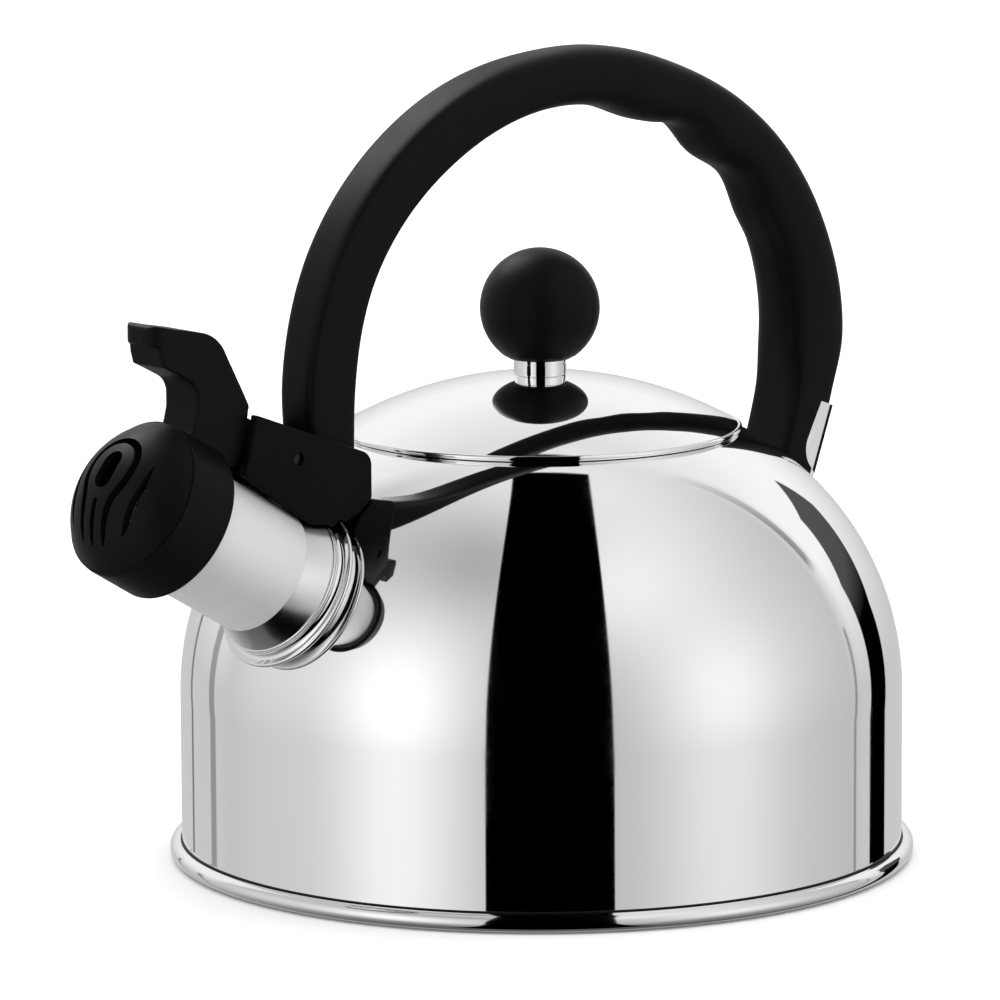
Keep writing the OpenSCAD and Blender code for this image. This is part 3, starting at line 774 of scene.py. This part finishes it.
def channel_solid(name, length, outward, gap):
    """The rear strap's channel: a web across the back and a flange along each side."""
    place = strap_place()
    web = block(name, (-STRAP_T, -STRAP_HALF - gap, -length), (outward, STRAP_HALF + gap, STRAP_EDGE), place)
    for side in (-1, 1):
        edge = sorted((side * (STRAP_HALF + gap), side * (STRAP_HALF - STRAP_T)))
        combine(web, "UNION", prism("flange", flange_outline(), *edge, place))
    return web


def weld_pad(name, x0, x1, width, thick):
    """A strip of sheet that lies on the dome, from radius x0 to x1."""
    rows, across = 16, 16
    half_turn = math.asin(width / (x0 + x1))
    points, faces = [], []
    for extra in (0.0, thick):
        for i in range(rows + 1):
            x = x0 + (x1 - x0) * i / rows
            z = shoulder_z(x, extra)
            for j in range(across + 1):
                a = half_turn * (2 * j / across - 1)
                points.append((x * math.cos(a), x * math.sin(a), z))
    count, row = (rows + 1) * (across + 1), across + 1
    for i in range(rows):
        for j in range(across):
            a = i * row + j
            faces.append([a, a + 1, a + row + 1, a + row])
            faces.append([count + a, count + a + row, count + a + row + 1, count + a + 1])
    rim = list(range(row)) + [i * row + across for i in range(1, rows + 1)]
    rim += list(range(rows * row, rows * row + across))[::-1] + [i * row for i in range(rows - 1, 0, -1)]
    for a, b in zip(rim, rim[1:] + rim[:1]):
        faces.append([a, b, count + b, count + a])
    return new_piece(name, points, faces)


def make_strap_lips():
    """The thin lips of the handle's moulding that cover the edges of the rear strap's web."""
    low, top, depth, width, proud = -24.4, -6.05, 0.85, 1.5, 0.06
    outline = [(-depth, top), (proud, top), (proud, low), (-depth, low + 0.5)]
    for name, side in (("handle_lip_near", -1), ("handle_lip_far", 1)):
        edge = sorted((side * (STRAP_HALF - width), side * (STRAP_HALF + proud)))
        lip = prism(name, outline, *edge, strap_place())
        finish(lip, "kettle", "black_phenolic", bpy.data.materials["plastic_grip"])


def make_rear_strap():
    """The pressed channel at the handle's rear foot, with its screw hole and weld pad."""
    strap = channel_solid("rear_strap_channel", 44, 0, 0)
    hole = lathe("hole", [(0, -1), (3.7, -1), (3.7, 0.05), (2.0, 1.65), (2.0, 6), (0, 6)],
                 strap_place() @ Matrix.Translation((0, 0, -17)) @ Matrix.Rotation(turn(-90), 4, "Y"), 48)
    combine(strap, "DIFFERENCE", body_blank("blank", 0.6, -40), hole)
    round_edges(strap, 0.35, 3, 50)
    combine(strap, "UNION", weld_pad("pad", 80.5, 87, 2 * STRAP_HALF, 1.2))
    smooth_shade(strap, 50)
    finish(strap, "kettle", "polished_steel", polished_steel("steel_strap", 0.06), "rear_strap")


def cheek_outline():
    """One cheek of the bracket, seen from the side."""
    corner = 4.0
    outline = [(-100.3, 125.0), (-104.3, 110.4), (-79, 92.6), (-64.1, 98.6)]
    return outline + arc(-64.1 - corner, 108.6, corner, 0, 72, 10)


def make_bracket():
    """Two cheeks with the spring and the cap's tongue between them, over the spout."""
    near, thick, web, pin_r = 7.0, 2.8, 2.0, 1.6
    cheeks = []
    for side in (-1, 1):
        edge = sorted((side * near, side * (near + thick)))
        cheeks.append(round_edges(prism("hinge_bracket_cheeks", cheek_outline(), *edge), 0.45, 3, 30))
    bracket, other = cheeks
    floor = block("floor", (17, -near - 1, 8.6), (18.8, near + 1, 25), SPOUT)
    wall = block("wall", (FRONT_FOOT_X - web, -near - 1, 97), (FRONT_FOOT_X, near + 1, 108))
    combine(bracket, "UNION", floor, wall, other)
    clear = lathe("clear", [(0, -6), (21.7, -6), (21.7, 1.6), (19.2, 3), (19.2, 4.8), (16.5, 11.7),
                            (16.5, 55), (0, 55)], SPOUT, 160)
    combine(bracket, "DIFFERENCE", clear, body_blank("blank", 0.6, -1))
    pin_hole = lathe("pin_hole", [(0, -15), (pin_r, -15), (pin_r, 15), (0, 15)], PIN_PLACE, 48)
    screw_place = Matrix.Translation((FRONT_FOOT_X - 1, 0, 104.5)) @ Matrix.Rotation(turn(90), 4, "Y")
    screw_hole = lathe("screw_hole", [(0, -5), (2, -5), (2, 5), (0, 5)], screw_place, 48)
    combine(bracket, "DIFFERENCE", pin_hole, screw_hole)
    smooth_shade(bracket, 35)
    finish(bracket, "kettle", "black_phenolic", black_plastic("plastic_bracket", 1800, 0.46, 0.06, 0.0028),
           "hinge_bracket")


# ---------------------------------------------------------------- lid

def make_lid():
    """The lid's shallow dome, its rolled rim and its underside."""
    rim_x = LID_R - LID_RIM_R
    reach = SHOULDER_R + LID_RIM_R + LID_GAP
    rim_z = SHOULDER_Z + math.sqrt(reach ** 2 - (rim_x - ARC_X) ** 2)
    centre = LID_TOP - LID_DOME_R
    # the dome runs into the rolled rim, which stands a little proud of it
    far = math.hypot(rim_x, rim_z - centre)
    lean = math.degrees(math.atan2(rim_z - centre, rim_x))
    opening = (LID_DOME_R ** 2 - far ** 2 - LID_RIM_R ** 2) / (2 * far * LID_RIM_R)
    rim = arc(rim_x, rim_z, LID_RIM_R, -170, lean + math.degrees(math.acos(opening)), 32)
    edge = math.degrees(math.atan2(rim[-1][1] - centre, rim[-1][0]))
    hole = 2.1
    top = arc(0, centre, LID_DOME_R, edge, 90 - math.degrees(hole / LID_DOME_R), 90)
    under_r = LID_DOME_R - SHEET
    low = math.degrees(math.acos((rim_x - 0.7) / under_r))
    under = arc(0, centre, under_r, 90 - math.degrees(hole / under_r), low, 60)
    profile = top + under + rim[:-1]
    lid = lathe("lid_polished_dome", profile)
    finish(lid, "lid", "polished_steel", polished_steel("steel_lid", 0.022), "lid_shell")


def make_ferrule():
    """The turned ferrule under the knob, with a groove below its top bead."""
    centre = LID_TOP - LID_DOME_R
    foot = centre + math.sqrt(LID_DOME_R ** 2 - FERRULE_R ** 2)
    r = FERRULE_R
    profile = [(2.1, foot + 0.2), (r - 0.2, foot + 0.02), (r, foot + 0.2)]
    profile += line((r, foot + 0.4), (r, KNOB_FOOT - 1.3), 6) + [(r, KNOB_FOOT - 1.1)]
    profile += [(r - 0.22, KNOB_FOOT - 1.0), (r - 0.22, KNOB_FOOT - 0.85), (r - 0.05, KNOB_FOOT - 0.75)]
    profile += [(r - 0.05, KNOB_FOOT - 0.1), (r - 0.15, KNOB_FOOT), (2.1, KNOB_FOOT)]
    piece = lathe("knob_turned_ferrule", profile, None, 160)
    finish(piece, "lid", "polished_steel", polished_steel("steel_ferrule", 0.05), "knob_ferrule")


def make_knob():
    """The round knob, with a soft edge round its flat foot and a bore for the insert."""
    bore, bore_len, soft = 4.0, 10.5, 0.9
    flat = math.sqrt(KNOB_R ** 2 - (KNOB_Z - KNOB_FOOT) ** 2)
    start = -math.degrees(math.asin((KNOB_Z - KNOB_FOOT - soft) / KNOB_R))
    profile = [(bore, KNOB_FOOT + bore_len), (bore, KNOB_FOOT), (flat - 0.7, KNOB_FOOT)]
    profile += [(flat - 0.1, KNOB_FOOT + 0.12), (flat + 0.3, KNOB_FOOT + 0.4)]
    profile += arc(0, KNOB_Z, KNOB_R, start, 89.5, 80) + [(0, KNOB_TOP), (0, KNOB_FOOT + bore_len)]
    piece = lathe("lid_round_knob", profile, None, 192)
    finish(piece, "lid", "black_phenolic", black_plastic("plastic_knob"), "lid_knob")


def paint_cad_parts():
    """The parts whose CAD shape stays in view."""
    bright = plain_metal("metal_screws", (0.72, 0.72, 0.73), 0.22)
    repaint(bright, "front_handle_screw", "rear_handle_screw", "knob_screw", "knob_washer")
    # the hinge pin is painted near black: painted shade, darkening its end to the shade of the recessed hole
    # it sits in
    repaint(plain_metal("metal_pin_painted_shade", (0.035, 0.035, 0.037), 0.3), "hinge_pin")
    repaint(satin_steel("steel_front_strap"), "front_strap")
    repaint(satin_steel("steel_sleeve", rough=0.25), "lid_sleeve")
    repaint(satin_steel("steel_base_cap", tone=0.78, rough=0.28), "base_cap")
    repaint(plain_metal("metal_spreader", (0.80, 0.80, 0.81), 0.4), "heat_spreader")
    repaint(plain_metal("metal_whistle", (0.75, 0.75, 0.76), 0.28), "whistle_cup", "whistle_disc")
    repaint(plain_metal("metal_brass", (0.78, 0.60, 0.30), 0.3), "knob_insert")
    repaint(silicone("rubber_seal"), "cap_seal")


# ---------------------------------------------------------------- studio

# The camera's level directions: to the image's right, and away into the picture
RIGHT = Vector((0.74896, -0.66262, 0))
AWAY = Vector((0.66262, 0.74896, 0))
UP = Vector((0, 0, 1))
CAMERA_PITCH, CAMERA_YAW, CAMERA_ROLL = 9.83, -0.326, -0.26
CAMERA_LENS, CAMERA_SENSOR = 260.17, 36
CAMERA_BACK, CAMERA_HEIGHT = 1.809, 0.4046

FLAG_BOTTOM, FLAG_TOP = -0.45, 0.628
PANEL_TOP = 0.41
BACKDROP_WHITE = 1.05


def make_camera():
    """The camera, at the photograph's place and angle."""
    pitch, yaw, roll = turn(CAMERA_PITCH), turn(CAMERA_YAW), turn(CAMERA_ROLL)
    forward = (math.sin(yaw) * RIGHT + math.cos(yaw) * AWAY) * math.cos(pitch) - math.sin(pitch) * UP
    level = forward.cross(UP).normalized()
    above = level.cross(forward)
    side = math.cos(roll) * level + math.sin(roll) * above
    top = side.cross(forward)
    data = bpy.data.cameras.new("camera")
    data.lens = CAMERA_LENS
    data.sensor_width = CAMERA_SENSOR
    data.clip_end = 30
    camera = bpy.data.objects.new("camera", data)
    place = Matrix((side, top, -forward)).transposed().to_4x4()
    place.translation = -CAMERA_BACK * AWAY + CAMERA_HEIGHT * UP
    camera.matrix_world = place
    bpy.context.scene.collection.objects.link(camera)
    bpy.context.scene.camera = camera


def make_floor():
    """A plain pale floor that the steel does not mirror."""
    bpy.ops.mesh.primitive_circle_add(vertices=96, radius=6, fill_type="NGON", location=(0, 0, 0))
    floor = bpy.context.object
    floor.name = "floor"
    material, tree, shader = new_material("floor_paper")
    shader.inputs["Specular IOR Level"].default_value = 0.0
    shader.inputs["Roughness"].default_value = 0.9
    tinted(tree, shader, noise(tree, 3, 2), (0.90, 0.90, 0.90), (0.92, 0.92, 0.92))
    floor.data.materials.append(material)
    floor.visible_glossy = False


def lobe(tree, ray, azimuth, height, width, power):
    """A soft round light in the world, at an azimuth from the camera's side."""
    flat = math.cos(turn(height))
    centre = flat * (math.sin(turn(azimuth)) * RIGHT - math.cos(turn(azimuth)) * AWAY)
    centre += math.sin(turn(height)) * UP
    narrow = 1 / turn(width) ** 2
    fall = calc(tree, "MULTIPLY", calc(tree, "SUBTRACT", component(tree, ray, centre), 1.0), narrow)
    return calc(tree, "MULTIPLY", calc(tree, "EXPONENT", fall), power)


def component(tree, ray, axis):
    """How far a direction points along an axis."""
    node = tree.nodes.new("ShaderNodeVectorMath")
    node.operation = "DOT_PRODUCT"
    tree.links.new(ray, node.inputs[0])
    node.inputs[1].default_value = axis
    return node.outputs["Value"]


def between(tree, value, low, high, soft=0.004):
    """1 where low < value < high, with slightly soft ends."""
    rise = calc(tree, "DIVIDE", calc(tree, "SUBTRACT", value, low), soft)
    fall = calc(tree, "DIVIDE", calc(tree, "SUBTRACT", high, value), soft)
    node = tree.nodes.new("ShaderNodeMath")
    node.operation = "MINIMUM"
    node.use_clamp = True
    joined(tree, node, i0=rise, i1=fall)
    return node.outputs[0]


def chosen(tree, pick, a, b):
    """a where pick is 1, and b where it is 0."""
    rest = calc(tree, "MULTIPLY", b, calc(tree, "SUBTRACT", 1.0, pick))
    return calc(tree, "ADD", calc(tree, "MULTIPLY", pick, a), rest)


def eased(tree, value, last, start, end):
    """A level that eases from start to end while the value goes from 0 to last."""
    node = tree.nodes.new("ShaderNodeMapRange")
    node.interpolation_type = "SMOOTHSTEP"
    node.inputs["From Max"].default_value = last
    node.inputs["To Min"].default_value = start
    node.inputs["To Max"].default_value = end
    tree.links.new(value, node.inputs["Value"])
    return node.outputs["Result"]


# each soft light of the studio is (azimuth, elevation, width, power); one of them takes light away
LOBES = [
    (-46, -8, 17, 0.32), (-46, 12, 17, 0.38), (-46, 38, 20, 0.20), (60, -8, 18, 0.18), (60, 12, 18, 0.34),
    (-30, 62, 17, -0.26), (28, 52, 18, 0.30), (75, 60, 22, 0.22), (-95, 10, 20, 0.22), (100, 10, 18, 0.08),
    (180, 68, 20, 0.30),
]


def make_world():
    """A soft white studio with a tall black flag in front that runs on overhead."""
    world = bpy.data.worlds.new("studio")
    world.use_nodes = True
    tree = world.node_tree
    tree.nodes.clear()
    ray = tree.nodes.new("ShaderNodeTexCoord").outputs["Generated"]
    across = component(tree, ray, RIGHT)
    front = component(tree, ray, -AWAY)
    back = component(tree, ray, AWAY)
    height = component(tree, ray, UP)

    light = 0.50
    for azimuth, elevation, width, power in LOBES:
        light = calc(tree, "ADD", light, lobe(tree, ray, azimuth, elevation, width, power))
    # white backdrop behind the object, greyer near the table and overhead
    behind = spread(tree, back, 0.42, 0.54, 0.0, 1.0)
    rise = calc(tree, "SUBTRACT", spread(tree, height, -0.1, 0.35, 0.60, 0.98),
                spread(tree, height, 0.55, 0.9, 0.0, 0.2))
    light = chosen(tree, behind, rise, light)
    # its soft dark edge, on the right-hand side and above the level only
    edge = calc(tree, "MULTIPLY", between(tree, back, 0.45, 0.51, 0.014),
                spread(tree, across, 0.35, 0.7, 0.0, 0.46))
    edge = calc(tree, "MULTIPLY", edge, spread(tree, height, 0.36, 0.42, 0.0, 1.0))
    light = calc(tree, "SUBTRACT", light, edge)
    # the table's shade below
    light = calc(tree, "MULTIPLY", light, spread(tree, height, -0.95, -0.3, 0.25, 1.0))
    # stands and seams of the studio, seen at the body's left and right edges
    azimuth = calc(tree, "DIVIDE", calc(tree, "ARCTAN2", across, front), math.pi / 180)
    low = between(tree, height, -2.0, 0.15, 0.02)
    for first, last, dim in ((-131, -126.5, 0.5), (-149, -146.5, 0.7), (117.5, 119.5, 0.5)):
        strip = calc(tree, "MULTIPLY", between(tree, azimuth, first, last, 0.5), low)
        shade = calc(tree, "SUBTRACT", 1.0, calc(tree, "MULTIPLY", strip, dim))
        light = calc(tree, "MULTIPLY", light, shade)
    # a dark panel at the right that leans back as it rises, black below and grey above
    near_edge = spread(tree, height, 0.22, 0.45, 128.5, 140.0)
    far_edge = spread(tree, height, 0.05, 0.26, 142.0, 151.0)
    panel = calc(tree, "MULTIPLY", between(tree, azimuth, near_edge, far_edge, 0.5),
                 between(tree, height, -1.0, PANEL_TOP, 0.006))
    side_flag = calc(tree, "MULTIPLY", panel, spread(tree, height, 0.08, 0.2, 1.0, 0.91))
    # the tall flag in front: its edges draw together as it runs overhead
    around = calc(tree, "DIVIDE", calc(tree, "ARCTAN2", height, front), math.pi)
    left = eased(tree, around, 0.75, 0.297, 0.065)
    right = eased(tree, around, 1.0, 0.382, 0.032)
    middle = calc(tree, "MULTIPLY", calc(tree, "SUBTRACT", right, left), 0.5)
    half = calc(tree, "MULTIPLY", calc(tree, "ADD", right, left), 0.5)
    offset = calc(tree, "ABSOLUTE", calc(tree, "SUBTRACT", across, middle))
    inside = between(tree, calc(tree, "SUBTRACT", offset, half), -5.0, 0.0)
    flag = calc(tree, "MULTIPLY", inside, between(tree, around, FLAG_BOTTOM, FLAG_TOP, 0.004))
    dark = calc(tree, "MAXIMUM", flag, side_flag)
    light = calc(tree, "MULTIPLY", light, calc(tree, "SUBTRACT", 1.0, dark))

    # dull surfaces are lit by the plain white room, and the backdrop is white
    path = tree.nodes.new("ShaderNodeLightPath")
    room = spread(tree, height, -0.2, 1.0, 0.6, 2.1)
    shown = chosen(tree, path.outputs["Is Diffuse Ray"], room, light)
    shown = chosen(tree, path.outputs["Is Camera Ray"], BACKDROP_WHITE, shown)
    background = tree.nodes.new("ShaderNodeBackground")
    tree.links.new(shown, background.inputs["Color"])
    output = tree.nodes.new("ShaderNodeOutputWorld")
    tree.links.new(background.outputs[0], output.inputs["Surface"])
    bpy.context.scene.world = world


def make_lights():
    """A soft light above and behind, that gives the black parts' upper faces their sheen."""
    data = bpy.data.lights.new("sheen", "AREA")
    data.energy = 13
    data.size = 0.9
    light = bpy.data.objects.new("sheen", data)
    light.location = 0.8 * AWAY - 0.7 * RIGHT + 1.3 * UP
    light.rotation_euler = (-light.location).to_track_quat("-Z", "Y").to_euler()
    bpy.context.scene.collection.objects.link(light)
    dark = bpy.data.collections.new("black_parts")
    for piece in bpy.data.objects:
        if piece.type == "MESH" and any("plastic" in m.name for m in piece.data.materials if m):
            dark.objects.link(piece)
    light.light_linking.receiver_collection = dark


make_camera()
make_body()
make_base()
make_tube()
make_flare()
make_collar()
make_skirt_and_hook()
make_dome()
make_spring()
make_handle()
make_strap_lips()
make_rear_strap()
make_bracket()
make_lid()
make_ferrule()
make_knob()
paint_cad_parts()
make_floor()
make_world()
make_lights()
bpy.context.scene.view_settings.view_transform = "Standard"
